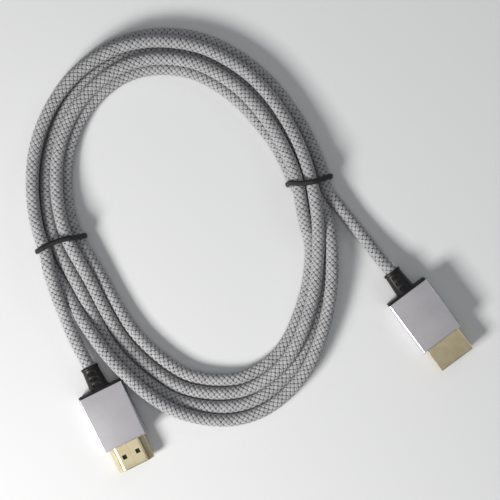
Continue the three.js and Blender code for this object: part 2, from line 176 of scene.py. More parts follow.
class CableSettings(bpy.types.PropertyGroup):
    """The cable and its braid."""

    diameter: bpy.props.FloatProperty(
        name="Diameter", description="Outside diameter of the braid", default=CABLE_D * MM, unit="LENGTH"
    )
    rows: bpy.props.IntProperty(
        name="Rows", description="Rows of yarn crossings around the cable, an even number", default=12
    )
    pitch: bpy.props.FloatProperty(
        name="Pitch", description="Distance along the cable between crossings of a row",
        default=2.03 * MM, unit="LENGTH",
    )
    relief: bpy.props.FloatProperty(
        name="Relief", description="Height of a yarn's crown over the gaps", default=0.24 * MM, unit="LENGTH"
    )
    yarn: bpy.props.FloatVectorProperty(
        name="Yarn", description="Colour of the yarn", default=(0.50, 0.50, 0.515), size=3, subtype="COLOR"
    )
    # Painted shade: the dark colour painted into the gaps and ply grooves between the yarns, and also the
    # dark end of the yarn's own tone
    dark_yarn_and_painted_shade: bpy.props.FloatVectorProperty(
        name="Dark yarn and painted shade", description="Colour between the yarns", default=(0.10, 0.10, 0.108), size=3,
        subtype="COLOR",
    )
    # Painted shadow: the near-black colour painted into the holes where four yarns meet
    opening_painted_shadow: bpy.props.FloatVectorProperty(
        name="Opening painted shadow", description="Colour where the yarns dive under each other",
        default=(0.02, 0.02, 0.022), size=3, subtype="COLOR",
    )


class TieSettings(bpy.types.PropertyGroup):
    """The two elastic ties."""

    width: bpy.props.FloatProperty(
        name="Width", description="Width of the elastic band", default=TIE_W * MM, unit="LENGTH"
    )
    thickness: bpy.props.FloatProperty(
        name="Thickness", description="Thickness of the elastic band", default=TIE_T * MM, unit="LENGTH"
    )
    colour: bpy.props.FloatVectorProperty(
        name="Colour", description="Colour of the elastic", default=(0.005, 0.005, 0.0055), size=3,
        subtype="COLOR",
    )


class PlugSettings(bpy.types.PropertyGroup):
    """The finishes of the two plugs."""

    sleeve: bpy.props.FloatVectorProperty(
        name="Sleeve", description="Colour of the anodised sleeve", default=(0.47, 0.46, 0.485), size=3,
        subtype="COLOR",
    )
    sleeve_edge: bpy.props.FloatVectorProperty(
        name="Cut edge", description="Colour of the sleeve's bright cut edges",
        default=(0.70, 0.70, 0.74), size=3, subtype="COLOR",
    )
    gold: bpy.props.FloatVectorProperty(
        name="Plating", description="Colour of the gold plating", default=(0.83, 0.71, 0.44), size=3,
        subtype="COLOR",
    )
    moulding: bpy.props.FloatVectorProperty(
        name="Moulding", description="Colour of the black moulding",
        default=(0.0085, 0.0075, 0.0075), size=3, subtype="COLOR",
    )


class StageSettings(bpy.types.PropertyGroup):
    """The camera, the floor and the light."""

    lens: bpy.props.FloatProperty(
        name="Lens", description="Focal length in millimetres", default=135.0, unit="CAMERA"
    )
    view_width: bpy.props.FloatProperty(
        name="View width", description="Width of the view at the cable", default=180.2 * MM, unit="LENGTH"
    )
    floor: bpy.props.FloatVectorProperty(
        name="Floor", description="Colour of the floor", default=(0.78, 0.79, 0.80), size=3, subtype="COLOR"
    )
    key_power: bpy.props.FloatProperty(
        name="Key", description="Power of the key light, in watts", default=6.5, unit="POWER"
    )
    overhead_power: bpy.props.FloatProperty(
        name="Overhead", description="Power of the soft light over the cable, in watts", default=1.4,
        unit="POWER",
    )
    fill_strength: bpy.props.FloatProperty(
        name="Fill", description="Strength of the light from all around", default=0.12,
        subtype="FACTOR",
    )


SETTINGS = {"cable": CableSettings, "ties": TieSettings, "plugs": PlugSettings, "stage": StageSettings}


def settings(name):
    return getattr(bpy.context.scene, "av_cable_" + name)


# Shader nodes, written as expressions

class Wire:
    """A socket that gives a value or a colour. Arithmetic on it adds Math nodes."""

    def __init__(self, finish, socket):
        self.finish = finish
        self.socket = socket

    def maths(self, operation, *others, swap=False):
        operands = [self, *others]
        if swap:
            operands.reverse()
        return self.finish.node("ShaderNodeMath", dict(enumerate(operands)), operation=operation)

    def __add__(self, other):
        return self.maths("ADD", other)

    __radd__ = __add__

    def __sub__(self, other):
        return self.maths("SUBTRACT", other)

    def __rsub__(self, other):
        return self.maths("SUBTRACT", other, swap=True)

    def __mul__(self, other):
        return self.maths("MULTIPLY", other)

    def __truediv__(self, other):
        return self.maths("DIVIDE", other)

    def __pow__(self, other):
        return self.maths("POWER", other)

    def __mod__(self, other):
        return self.maths("FLOORED_MODULO", other)

    def __abs__(self):
        return self.maths("ABSOLUTE")

    def floor(self):
        return self.maths("FLOOR")

    def sine(self):
        return self.maths("SINE")

    def clamped(self):
        return self.finish.node("ShaderNodeClamp", {"Value": self})

    def step(self, low, high):
        """0 up to low, 1 from high on, and smooth between."""
        return self.finish.node(
            "ShaderNodeMapRange", {"Value": self, "From Min": low, "From Max": high},
            interpolation_type="SMOOTHSTEP",
        )

    def choose(self, when_no, when_yes):
        """One of two values by this one, which goes from 0 to 1."""
        return when_no + (when_yes - when_no) * self

    def tint(self, when_no, when_yes):
        """The mix of two colours by this value."""
        return self.finish.node(
            "ShaderNodeMix", {"Factor_Float": self, "A_Color": when_no, "B_Color": when_yes},
            out="Result_Color", data_type="RGBA",
        )


class Finish:
    """A material made of nodes around one Principled shader."""

    def __init__(self, name, **constants):
        self.material = bpy.data.materials.new(name)
        self.material.use_nodes = True
        self.tree = self.material.node_tree
        self.tree.nodes.clear()
        self.shader = self.tree.nodes.new("ShaderNodeBsdfPrincipled")
        output = self.tree.nodes.new("ShaderNodeOutputMaterial")
        self.tree.links.new(self.shader.outputs[0], output.inputs["Surface"])
        for key, value in constants.items():
            self.set(key.replace("_", " ").title().replace("Ior", "IOR"), value)

    def feed(self, node, key, value):
        found = [s for s in node.inputs if s.identifier == key]
        socket = found[0] if found else node.inputs[key]
        if isinstance(value, Wire):
            self.tree.links.new(value.socket, socket)
        elif hasattr(socket.default_value, "__len__") and len(socket.default_value) == 4:
            socket.default_value = (*value, 1.0) if len(value) == 3 else value
        else:
            socket.default_value = value

    def set(self, key, value):
        self.feed(self.shader, key, value)

    def node(self, kind, inputs=None, out=0, **choices):
        made = self.tree.nodes.new(kind)
        for key, value in choices.items():
            setattr(made, key, value)
        for key, value in (inputs or {}).items():
            self.feed(made, key, value)
        found = [s for s in made.outputs if s.identifier == out]
        return Wire(self, found[0] if found else made.outputs[out])

    def noise(self, scale, detail=2.0, roughness=0.5):
        """Noise by the object's own coordinates, in metres."""
        place = self.node("ShaderNodeTexCoord", out="Object")
        inputs = {"Vector": place, "Scale": scale, "Detail": detail, "Roughness": roughness}
        return self.node("ShaderNodeTexNoise", inputs)

    def braid_map(self):
        """A point's place on the piece's own map: around it, and along it."""
        at = self.node("ShaderNodeUVMap", uv_map="Braid")
        return [self.node("ShaderNodeSeparateXYZ", {"Vector": at}, out=axis) for axis in ("X", "Y")]

    def random_value(self, x, y):
        """A random value from 0 to 1 for each pair of whole numbers."""
        spot = self.node("ShaderNodeCombineXYZ", {"X": x, "Y": y})
        return self.node("ShaderNodeTexWhiteNoise", {"Vector": spot}, out="Value", noise_dimensions="2D")

    def bump(self, height, depth, strength):
        inputs = {"Height": height, "Distance": depth, "Strength": strength}
        self.set("Normal", self.node("ShaderNodeBump", inputs))


def braid_finish():
    """Grey yarns of two plies that cross over each other, with painted shade in their gaps and grooves and
    painted shadow in the holes where four meet.
    """
    s = settings("cable")
    f = Finish(
        "cable_braid", roughness=0.78, specular_ior_level=0.3, sheen_weight=0.15, sheen_roughness=0.45
    )
    row, along = f.braid_map()
    one = row * 0.5 + along
    other = row * 0.5 - along
    one_cell = (one + 0.5).floor()
    other_cell = (other + 0.5).floor()
    in_one = one - one_cell
    in_other = other - other_cell
    odd = (one_cell + other_cell) % 2.0
    across = odd.choose(in_one, in_other)
    length = odd.choose(in_other, in_one)

    # Every crossing has its own shade, and every ply is a bundle of fine filaments
    own = f.random_value(one_cell, other_cell)
    fibre = f.noise(3200, 3.0)
    ply = 1.0 - (abs(across) * 4.0 - 1.0) ** 2.0
    filaments = ((across * 10.0 + length * 3.0) * (2 * math.pi)).sine() * 0.5 + 0.5
    edge = 1.0 - abs(across * 2.0) ** 6.0
    dive = 1.0 - abs(length * 2.0) ** 3.0
    height = (ply * 0.35 + 0.65) * edge * (dive * 0.85 + 0.15)

    # Painted shadow: the small holes where four yarns meet, longest around the cable, are painted
    # near-black; the same mask also dips the bump
    to_one = one % 1.0 - 0.5
    to_other = other % 1.0 - 0.5
    opening = ((to_one + to_other) / 0.52) ** 2.0 + ((to_one - to_other) / 0.25) ** 2.0
    depth = f.random_value(one.floor(), other.floor())
    opening_dip_and_painted_shadow = (1.0 - opening.step(0.2, 1.3)) * (0.5 + depth * 0.5)
    # Painted shade: the gaps between crossings and the groove between a yarn's two plies are darkened in
    # colour, mixed with each crossing's own tone and the fibre noise
    gap_painted_shade = 1.0 - (edge * dive).step(0.0, 0.5)
    groove_painted_shade = 1.0 - ply.step(0.0, 0.5)
    shade = gap_painted_shade * 0.34 + groove_painted_shade * 0.3 + own * 0.2 + (1.0 - filaments) * 0.08 + (fibre - 0.5) * 0.5
    yarn = shade.clamped().tint(tuple(s.yarn), tuple(s.dark_yarn_and_painted_shade))
    f.set("Base Color", (opening_dip_and_painted_shadow * 0.88).tint(yarn, tuple(s.opening_painted_shadow)))
    f.bump((height - opening_dip_and_painted_shadow * 0.5) + filaments * 0.05 + fibre * 0.07, 0.26 * MM, 0.85)
    return f.material


def elastic_finish():
    """Black elastic: a fine wound cover over rubber."""
    colour, worn_colour = tuple(settings("ties").colour), (0.02, 0.02, 0.022)
    f = Finish("tie_elastic", roughness=0.62)
    around, along = f.braid_map()
    one = ((along + around) * (2 * math.pi)).sine()
    other = ((along - around) * (2 * math.pi)).sine()
    ribs = one * other
    worn = f.noise(900, 3.0)
    f.set("Base Color", (ribs * 0.25 + worn * 0.6).clamped().tint(colour, worn_colour))
    f.bump(ribs * 0.5 + worn * 0.3, 0.12 * MM, 0.8)
    return f.material


def sleeve_finish():
    """Fine bead-blasted, grey anodised aluminium."""
    f = Finish("sleeve_anodised", metallic=0.55, specular_ior_level=0.5)
    colour = tuple(settings("plugs").sleeve)
    grain = f.noise(5200, 2.0, 0.6)
    cloud = f.noise(90, 3.0)
    tone = (grain * 0.45 + cloud * 0.55).step(0.3, 0.7)
    darker = tuple(0.9 * c for c in colour)
    lighter = tuple(min(1.0, 1.08 * c) for c in colour)
    f.set("Base Color", tone.tint(darker, lighter))
    f.set("Roughness", 0.4 + grain * 0.16)
    f.bump(grain, 0.02 * MM, 0.5)
    return f.material


def cut_edge_finish():
    """The bright edge that a cutter leaves on the anodised sleeve."""
    f = Finish("sleeve_cut_edge", metallic=0.9)
    colour = tuple(settings("plugs").sleeve_edge)
    marks = f.noise(3000, 2.0)
    f.set("Base Color", marks.step(0.3, 0.7).tint(tuple(0.92 * c for c in colour), colour))
    f.set("Roughness", 0.3 + marks * 0.1)
    return f.material


def gold_finish(name="shell_gold", polish_and_painted_light=0.0):
    """Thin satin gold plating over stamped steel, a little mottled and rubbed. Polish goes from -1 to 1:
    above 0 the gold is smoother and lighter in colour, a painted highlight, and below 0 rougher and darker
    in colour.
    """
    f = Finish(name, metallic=1.0)
    # Painted highlight: polish lightens the gold's colour above 0, and darkens it below 0
    gold = tuple((0.92 + 0.22 * polish_and_painted_light) * c for c in settings("plugs").gold)
    pale = tuple(min(1.0, c * 0.75 + 0.2) for c in gold)
    mottle = f.noise(420, 4.0, 0.65)
    fine = f.noise(4200, 2.0)
    rubbed = (mottle * 0.7 + fine * 0.3).step(0.38, 0.68)
    f.set("Base Color", rubbed.tint(gold, pale))
    f.set("Roughness", 0.26 - 0.14 * polish_and_painted_light + mottle * 0.2)
    f.bump(fine, 0.012 * MM, 0.5 - 0.4 * polish_and_painted_light)
    return f.material


def moulding_finish(name="black_moulding", roughness=0.4):
    """Black moulding with the fine spark texture of its mould."""
    f = Finish(name, specular_ior_level=0.28)
    colour = tuple(settings("plugs").moulding)
    grain = f.noise(3800, 2.0)
    cloud = f.noise(260, 3.0)
    f.set("Base Color", cloud.step(0.3, 0.75).tint(colour, tuple(2.2 * c for c in colour)))
    f.set("Roughness", roughness + grain * 0.18)
    f.bump(grain, 0.02 * MM, 0.6)
    return f.material


# Meshes

def mesh_of(name, bm):
    """The closed shape as a mesh with outward faces. Frees the shape."""
    bmesh.ops.recalc_face_normals(bm, faces=bm.faces)
    mesh = bpy.data.meshes.new(name)
    bm.to_mesh(mesh)
    bm.free()
    return mesh


def linked(name, data):
    thing = bpy.data.objects.new(name, data)
    bpy.context.scene.collection.objects.link(thing)
    return thing


def new_piece(name, mesh):
    """The mesh as a smooth piece that rides on the cable's only body."""
    for face in mesh.polygons:
        face.use_smooth = True
    piece = linked(name, mesh)
    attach(piece, BODY)
    return piece


def skin(bm, rings, closed=False, caps=False, strips=None):
    """Faces between rings of points. A strip's number gives its faces' material."""
    made = [[bm.verts.new(p) for p in ring] for ring in rings]
    count = len(made[0])
    last = len(made) if closed else len(made) - 1
    for i in range(last):
        near, far = made[i], made[(i + 1) % len(made)]
        for j in range(count):
            k = (j + 1) % count
            face = bm.faces.new((near[j], near[k], far[k], far[j]))
            face.material_index = strips[i] if strips else 0
    if caps:
        bm.faces.new(reversed(made[0]))
        bm.faces.new(made[-1])
    return made


def sharpen(piece, angle_deg, width, segments=2):
    """Rounds the sharp edges a little, as a real edge is, and shades by angle."""
    bevel = piece.modifiers.new("edges", "BEVEL")
    bevel.width = width * MM
    bevel.segments = segments
    bevel.limit_method = "ANGLE"
    bevel.angle_limit = math.radians(angle_deg)
    apply_modifiers(piece)
    piece.data.set_sharp_from_angle(angle=math.radians(angle_deg))


def apply_modifiers(piece):
    graph = bpy.context.evaluated_depsgraph_get()
    made = bpy.data.meshes.new_from_object(piece.evaluated_get(graph))
    piece.modifiers.clear()
    old = piece.data
    piece.data = made
    bpy.data.meshes.remove(old)


def cut_with(piece, prefix, bm):
    """Cuts closed shapes, in the plug's own millimetres, out of a plug's piece."""
    bmesh.ops.transform(bm, matrix=plug_place(PLUGS[prefix]), verts=bm.verts)
    mesh = mesh_of("cutter", bm)
    cutter = linked("cutter", mesh)
    cut = piece.modifiers.new("cut", "BOOLEAN")
    cut.operation = "DIFFERENCE"
    cut.solver = "EXACT"
    cut.object = cutter
    apply_modifiers(piece)
    bpy.data.objects.remove(cutter)
    bpy.data.meshes.remove(mesh)


# The coil's layout

def hermite(start, end, slope_start, slope_end, t):
    ends = (2 * t**3 - 3 * t**2 + 1) * start + (3 * t**2 - 2 * t**3) * end
    return ends + (t**3 - 2 * t**2 + t) * slope_start + (t**3 - t**2) * slope_end


def edge_radius(angle):
    place = (angle % TURN_DEG) / EDGE_STEP_DEG
    first = int(place)
    before, start, end, after = (EDGE_RADII[(first + k) % len(EDGE_RADII)] for k in (-1, 0, 1, 2))
    return hermite(start, end, (end - before) / 2, (after - start) / 2, place - first)


def edge_point(angle):
    heading = math.radians(COIL_START_DEG - angle)
    return np.array(COIL_MIDDLE) + edge_radius(angle) * np.array([math.cos(heading), math.sin(heading)])


def inward_at(angle):
    """The direction from the coil's outer edge to its inside, square to the edge."""
    along = edge_point(angle + 1) - edge_point(angle - 1)
    along /= np.linalg.norm(along)
    return np.array([along[1], -along[0]])


LANE_STOPS = [
    (at + turn * TURN_DEG, passes[turn][0] * CABLE_D, passes[turn][1] * CABLE_D)
    for turn in range(PASSES)
    for at, passes in LANES
    if turn < len(passes)
]


def lane_at(angle):
    """How far inside the edge and how high the cable is, by its angle through every turn."""
    last = len(LANE_STOPS) - 1
    first = next((k for k, stop in enumerate(LANE_STOPS) if stop[0] > angle), last) - 1
    before, start, end, after = (LANE_STOPS[min(max(first + k, 0), last)] for k in (-1, 0, 1, 2))
    span = max(end[0] - start[0], 1)
    t = min(max((angle - start[0]) / span, 0), 1)

    def value(key):
        def slope(a, b):
            return span * (b[key] - a[key]) / max(b[0] - a[0], 1)

        return hermite(start[key], end[key], slope(before, end), slope(start, after), t)

    return value(1), max(value(2), CABLE_D / 2)


def tie_lift(angle):
    """How far the cable is lifted where it lies on the two ties."""

    def share(tie):
        turned = (angle - tie + 180) % TURN_DEG - 180
        return math.exp(-((turned / TIE_SLOPE_DEG) ** 2))

    return (TIE_T + TIE_SNUG) * max(share(LEFT_TIE_DEG), share(RIGHT_TIE_DEG))


def cable_point(angle):
    inside, height = lane_at(angle)
    flat = edge_point(angle) + inward_at(angle) * inside
    return np.array([flat[0], flat[1], height + tie_lift(angle)])


def plug_direction(plug):
    heading = math.radians(plug["heading"])
    return np.array([math.cos(heading), math.sin(heading), 0.0])


def boot_mouth(plug):
    """The middle of a strain relief's open end."""
    return np.array([*plug["front"], SLEEVE_T / 2]) - (SLEEVE_BACK + BOOT_L) * plug_direction(plug)


COIL_SAMPLE_DEG = 9  # between points of the coil's turns


def rough_route():
    """The cable's centreline from plug to plug, and the lift under each point."""
    start = boot_mouth(PLUGS["plug_a"])
    end = boot_mouth(PLUGS["plug_b"])
    lead_in = [start + MOUTH_DEPTH * plug_direction(PLUGS["plug_a"]), start]
    lead_in += [np.array(p) for p in reversed(LEAD_A_POINTS)]
    lead_out = [np.array(p) for p in LEAD_B_POINTS]
    lead_out += [end, end + MOUTH_DEPTH * plug_direction(PLUGS["plug_b"])]
    first, last = LEAD_A_LEAVES_DEG, LEAD_B_LEAVES_DEG + (PASSES - 1) * TURN_DEG
    count = round((last - first) / COIL_SAMPLE_DEG)
    angles = [first + (last - first) * k / count for k in range(count + 1)]
    points = lead_in + [cable_point(a) for a in angles] + lead_out
    lifts = [0.0] * len(lead_in) + [tie_lift(a) for a in angles] + [0.0] * len(lead_out)
    return np.array(points), np.array(lifts)


def smooth_samples(points, step, extra=None):
    """Points every step along a smooth curve through the given ones, and the extra values there."""
    gaps = np.sqrt(np.linalg.norm(np.diff(points, axis=0), axis=1))
    knots = np.concatenate([[0], np.cumsum(gaps)])
    columns = points if extra is None else np.column_stack([points, extra])
    slopes = np.gradient(columns, knots, axis=0)
    fine = []
    per_gap = 24
    for k in range(len(points) - 1):
        t = np.linspace(0, 1, per_gap, endpoint=False)[:, None]
        span = knots[k + 1] - knots[k]
        fine.append(hermite(columns[k], columns[k + 1], slopes[k] * span, slopes[k + 1] * span, t))
    fine = np.vstack([*fine, columns[-1:]])
    run = np.concatenate([[0], np.cumsum(np.linalg.norm(np.diff(fine[:, :3], axis=0), axis=1))])
    count = round(run[-1] / step)
    at = np.linspace(0, run[-1], count + 1)
    return np.column_stack([np.interp(at, run, fine[:, c]) for c in range(columns.shape[1])])


ROUTE_STEP = 2.0  # between the points that are pushed apart
PUSH_ROUNDS = 260
PUSH_SHARE = 0.7  # of each push that is made in one round
PUSH_SPREAD = 2  # points on each side that go along
NEAR_ALONG = 9  # neighbours this near along the cable never push each other
HELD_POINTS = 5  # at each end of the cable


def blurred(values, reach):
    """Values along the cable, each averaged with its neighbours."""
    weights = np.hanning(2 * reach + 3)[1:-1]
    weights /= weights.sum()
    padded = np.pad(values, ((reach, reach), (0, 0)), mode="edge")
    return np.stack([np.convolve(column, weights, mode="valid") for column in padded.T], axis=1)


def settled_route():
    """The given route with its passes pushed about a diameter apart and kept above the floor."""
    rough, lifts = rough_route()
    samples = smooth_samples(rough, ROUTE_STEP, lifts)
    start, floor = samples[:, :3], samples[:, 3] + CABLE_D / 2
    points = start.copy()
    index = np.arange(len(points))
    i, j = np.nonzero((index[None, :] - index[:, None]) > NEAR_ALONG)
    near = np.linalg.norm(start[i] - start[j], axis=1) < 3 * CABLE_D
    i, j = i[near], j[near]
    held = np.minimum(index, index[::-1]) < HELD_POINTS
    for _ in range(PUSH_ROUNDS):
        along = np.gradient(points, axis=0)
        along /= np.linalg.norm(along, axis=1)[:, None]
        apart = points[j] - points[i]
        mean = along[i] + along[j] * np.sign((along[i] * along[j]).sum(1))[:, None]
        mean /= np.maximum(np.linalg.norm(mean, axis=1), 1e-9)[:, None]
        slide = (apart * mean).sum(1)
        aside = apart - slide[:, None] * mean
        distance = np.maximum(np.linalg.norm(aside, axis=1), 1e-6)
        close = (np.abs(slide) < 0.8 * ROUTE_STEP) & (distance < CABLE_D)
        push = (0.5 * (CABLE_D - distance[close]) / distance[close])[:, None] * aside[close]
        move = np.zeros_like(points)
        count = np.zeros(len(points))
        for side, sign in ((i[close], -1), (j[close], 1)):
            np.add.at(move, side, sign * push)
            np.add.at(count, side, 1)
        move /= np.maximum(count, 1)[:, None]
        points = points + PUSH_SHARE * blurred(move, PUSH_SPREAD)
        points[:, 2] = np.maximum(points[:, 2], floor)
        points[held] = start[held]
        points = start + blurred(points - start, PUSH_SPREAD)
        points[:, 2] = np.maximum(points[:, 2], floor)
    return points


ROUTE = settled_route()


# Stage, camera and light. The floor and the lights are in metres.

SENSOR_WIDTH = 36.0
FLOOR_REACH = 1.6
FLOOR_THICKNESS = 0.01
SKY_COLOUR = (0.97, 0.98, 1.0, 1.0)
LIGHTS = {
    "key": {"place": (-0.44, -0.43, 0.42), "size": (0.26, 0.2), "colour": (1.0, 0.985, 0.96)},
    "overhead": {"place": (0, 0, 1.0), "size": (0.75, 0.75), "colour": (1.0, 1.0, 1.0)},
    "rim": {"place": (0.45, 0.45, 0.50), "size": (0.5, 0.3), "colour": (0.94, 0.97, 1.0)},
}
RIM_SHARE = 0.1  # of the key light's power


def area_light(name, place, size, colour, power):
    """A soft light that faces the middle of the cable."""
    data = bpy.data.lights.new(name, "AREA")
    data.shape = "RECTANGLE"
    data.size, data.size_y = size
    data.energy = power
    data.color = colour
    light = linked(name, data)
    light.location = place
    light.rotation_mode = "QUATERNION"
    light.rotation_quaternion = (Vector((0, 0, 0)) - light.location).to_track_quat("-Z", "Y")


class AVCABLE_OT_stage(bpy.types.Operator):
    """Makes the camera over the cable, the pale floor and the soft studio light"""

    bl_idname = "avcable.stage"
    bl_label = "Stage"

    def execute(self, context):
        s = settings("stage")
        data = bpy.data.cameras.new("camera")
        data.lens = s.lens
        data.sensor_width = SENSOR_WIDTH
        data.clip_start, data.clip_end = 0.01, 10
        camera = linked("camera", data)
        camera.location = (0, 0, SLEEVE_T / 2 * MM + s.view_width * s.lens / SENSOR_WIDTH)
        context.scene.camera = camera

        bm = bmesh.new()
        corners = [(x * FLOOR_REACH, y * FLOOR_REACH) for x, y in ((-1, -1), (1, -1), (1, 1), (-1, 1))]
        skin(bm, [[(x, y, z) for x, y in corners] for z in (-FLOOR_THICKNESS, 0)], caps=True)
        floor = linked("floor", mesh_of("floor", bm))
        floor_finish = Finish("floor", base_color=tuple(s.floor), roughness=0.9)
        floor.data.materials.append(floor_finish.material)

        powers = {"key": s.key_power, "overhead": s.overhead_power, "rim": s.key_power * RIM_SHARE}
        for name, light in LIGHTS.items():
            area_light(name, power=powers[name], **light)
        world = bpy.data.worlds.new("studio")
        world.use_nodes = True
        background = world.node_tree.nodes["Background"]
        background.inputs["Color"].default_value = SKY_COLOUR
        background.inputs["Strength"].default_value = s.fill_strength
        context.scene.world = world
        context.scene.view_settings.view_transform = "Standard"
        return {"FINISHED"}


# The cable

SIDES_PER_ROW = 2
RINGS_PER_PITCH = 4
RELIEF_INSIDE = 0.75  # of the relief, inside the cable's diameter
BAKE_STRIPS = 11  # side by side on the map for baking
BAKE_MARGIN = 0.04


def braid_height(row, along):
    """The same crossing yarns as the finish has, from 0 in the gaps to 1 on a crown."""
    one, other = row / 2 + along, row / 2 - along
    one_cell, other_cell = np.floor(one + 0.5), np.floor(other + 0.5)
    in_one, in_other = one - one_cell, other - other_cell
    odd = (one_cell + other_cell) % 2 > 0.5
    across = np.where(odd, in_other, in_one)
    length = np.where(odd, in_one, in_other)
    return (1 - np.abs(2 * across) ** 2.4) * (1 - 0.75 * np.abs(2 * length) ** 3)


def tube_frames(points, hint):
    """Two directions square to the line at each point, which turn with it and never twist."""
    along = np.gradient(points, axis=0)
    along /= np.linalg.norm(along, axis=1)[:, None]
    side = np.cross([0.0, 0.0, 1.0], along[0]) if hint is None else hint - along[0] * (along[0] @ hint)
    side /= np.linalg.norm(side)
    sides = [side]
    for direction in along[1:]:
        side = sides[-1] - direction * (sides[-1] @ direction)
        sides.append(side / np.linalg.norm(side))
    sides = np.array(sides)
    return sides, np.cross(along, sides)


def tube_mesh(name, points, radii, rows, pitch_rings, closed=False, bake_strips=0, hint=None):
    """A tube whose ring k has the radii of its own sides, with the map that its finish reads."""
    sides, ups = tube_frames(points, hint)
    count, around = radii.shape
    turn = np.arange(around) / around * 2 * math.pi
    ring = sides[:, None, :] * np.cos(turn)[None, :, None] + ups[:, None, :] * np.sin(turn)[None, :, None]
    spots = points[:, None, :] + ring * radii[:, :, None]
    i, j = np.meshgrid(np.arange(count if closed else count - 1), np.arange(around), indexing="ij")
    i, j = i.ravel(), j.ravel()
    i_next, j_next = (i + 1) % count, (j + 1) % around
    quads = np.stack([i * around + j, i * around + j_next, i_next * around + j_next, i_next * around + j], 1)
    faces = quads.tolist()
    if not closed:
        faces.append(tuple(reversed(range(around))))
        faces.append(tuple(range((count - 1) * around, count * around)))
    mesh = bpy.data.meshes.new(name)
    mesh.from_pydata((spots.reshape(-1, 3) * MM).tolist(), [], faces)
    caps = 0 if closed else 2 * around
    corner_i = np.stack([i, i, i + 1, i + 1], 1).ravel()
    corner_j = np.stack([j, j + 1, j + 1, j], 1).ravel()
    braid = np.stack([corner_j / around * rows, corner_i / pitch_rings], 1)
    write_map(mesh, "Braid", braid, caps)
    if bake_strips:
        per = math.ceil(count / bake_strips)
        strip = (i // per).repeat(4)
        aside = strip + BAKE_MARGIN + (1 - 2 * BAKE_MARGIN) * corner_j / around
        bake = np.stack([(corner_i - strip * per) / per, aside / bake_strips], 1)
        write_map(mesh, "OFBake", bake, caps)
    return new_piece(name, mesh)


def write_map(mesh, name, values, caps):
    layer = mesh.uv_layers.new(name=name, do_init=False)
    padded = np.vstack([values, np.zeros((caps, 2))]).astype(np.float32)
    layer.uv.foreach_set("vector", padded.ravel())


class AVCABLE_OT_cable(bpy.types.Operator):
    """Makes the whole cable from plug to plug, with its braid in relief"""

    bl_idname = "avcable.cable"
    bl_label = "Cable"

    def execute(self, context):
        s = settings("cable")
        ring_step = s.pitch / MM / RINGS_PER_PITCH
        points = smooth_samples(ROUTE, ring_step)
        rows = np.arange(s.rows * SIDES_PER_ROW) / SIDES_PER_ROW
        along = np.arange(len(points)) / RINGS_PER_PITCH
        relief = braid_height(rows[None, :], along[:, None])
        radii = (s.diameter / 2 + s.relief * (relief - RELIEF_INSIDE)) / MM
        cable = tube_mesh(
            "cable_braid", points, radii, s.rows, RINGS_PER_PITCH, bake_strips=BAKE_STRIPS
        )
        cable.data.materials.append(braid_finish())
        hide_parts("cable_coil", "cable_lead_a", "cable_lead_b")
        return {"FINISHED"}


# The ties

COIL_W = 6 * CABLE_D  # every pass lies less than this inside the coil's edge
TIE_DIRECTIONS = 240  # around a tie, which lies on the outermost pass in each
TIE_STEP = 0.3
TIE_SIDES = 20
TIE_LEAN = 0.08  # along the cable, for each millimetre across the coil
TIE_SHIFT = 0.7  # of its top along the cable from its foot
TIE_BOW = 1.5


def crossings(angle):
    """Where the passes go through the coil's section at an angle: how far inside, and how high."""
    edge, inward = edge_point(angle), inward_at(angle)
    axis = np.array([inward[1], -inward[0]])
    off = (ROUTE[:, :2] - edge) @ axis
    found = []
    for k in np.nonzero(off[:-1] * off[1:] < 0)[0]:
        spot = ROUTE[k] + (ROUTE[k + 1] - ROUTE[k]) * off[k] / (off[k] - off[k + 1])
        inside = (spot[:2] - edge) @ inward
        if -CABLE_D < inside < COIL_W:
            found.append((inside, spot[2]))
    return np.array(found)


def tie_loop(name, angle, thick):
    """The middle of a tie in the coil's section, in even steps: how far inside, and how high."""
    discs = crossings(angle)
    if len(discs) < PASSES - 1:
        raise RuntimeError(f"{name} goes around {len(discs)} passes, which is too few")
    loop = []
    for turn in np.linspace(0, 2 * math.pi, TIE_DIRECTIONS, endpoint=False):
        out = np.array([math.cos(turn), math.sin(turn)])
        carrier = discs[np.argmax(discs @ out)]
        loop.append(carrier + out * (CABLE_D / 2 + TIE_SNUG + thick / 2))
    loop = np.array(loop + loop[:1])
    run = np.concatenate([[0], np.cumsum(np.linalg.norm(np.diff(loop, axis=0), axis=1))])
    at = np.linspace(0, run[-1], round(run[-1] / TIE_STEP), endpoint=False)
    return np.interp(at, run, loop[:, 0]), np.interp(at, run, loop[:, 1])


class AVCABLE_OT_ties(bpy.types.Operator):
    """Makes the two elastic ties, each a tight loop around every pass"""

    bl_idname = "avcable.ties"
    bl_label = "Ties"

    def execute(self, context):
        s = settings("ties")
        wide, thick = s.width / MM, s.thickness / MM
        turns = np.arange(TIE_SIDES) / TIE_SIDES * 2 * math.pi
        section = wide * thick / 2 / np.hypot(thick * np.cos(turns), wide * np.sin(turns))
        material = elastic_finish()
        for name, angle in (("tie_left", LEFT_TIE_DEG), ("tie_right", RIGHT_TIE_DEG)):
            inside, height = tie_loop(name, angle, thick)
            edge, inward = edge_point(angle), inward_at(angle)
            axis = np.array([inward[1], -inward[0], 0.0])
            across = (inside - inside.min()) / (inside.max() - inside.min())
            raised = (height - height.min()) / (height.max() - height.min())
            lean = TIE_LEAN * (inside - inside.mean()) + TIE_SHIFT * (raised - 0.5)
            lean -= TIE_BOW * np.sin(math.pi * across) * raised
            flat = edge + inside[:, None] * inward
            points = np.column_stack([flat, height]) + lean[:, None] * axis
            radii = np.tile(section, (len(points), 1))
            tie = tube_mesh(name + "_band", points, radii, 4, 2, closed=True, hint=axis)
            tie.data.materials.append(material)
            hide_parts(name)
        return {"FINISHED"}


# The plugs. Their pieces are made with X along to the tip, 0 at the sleeve's front, and +Z to the wide face.

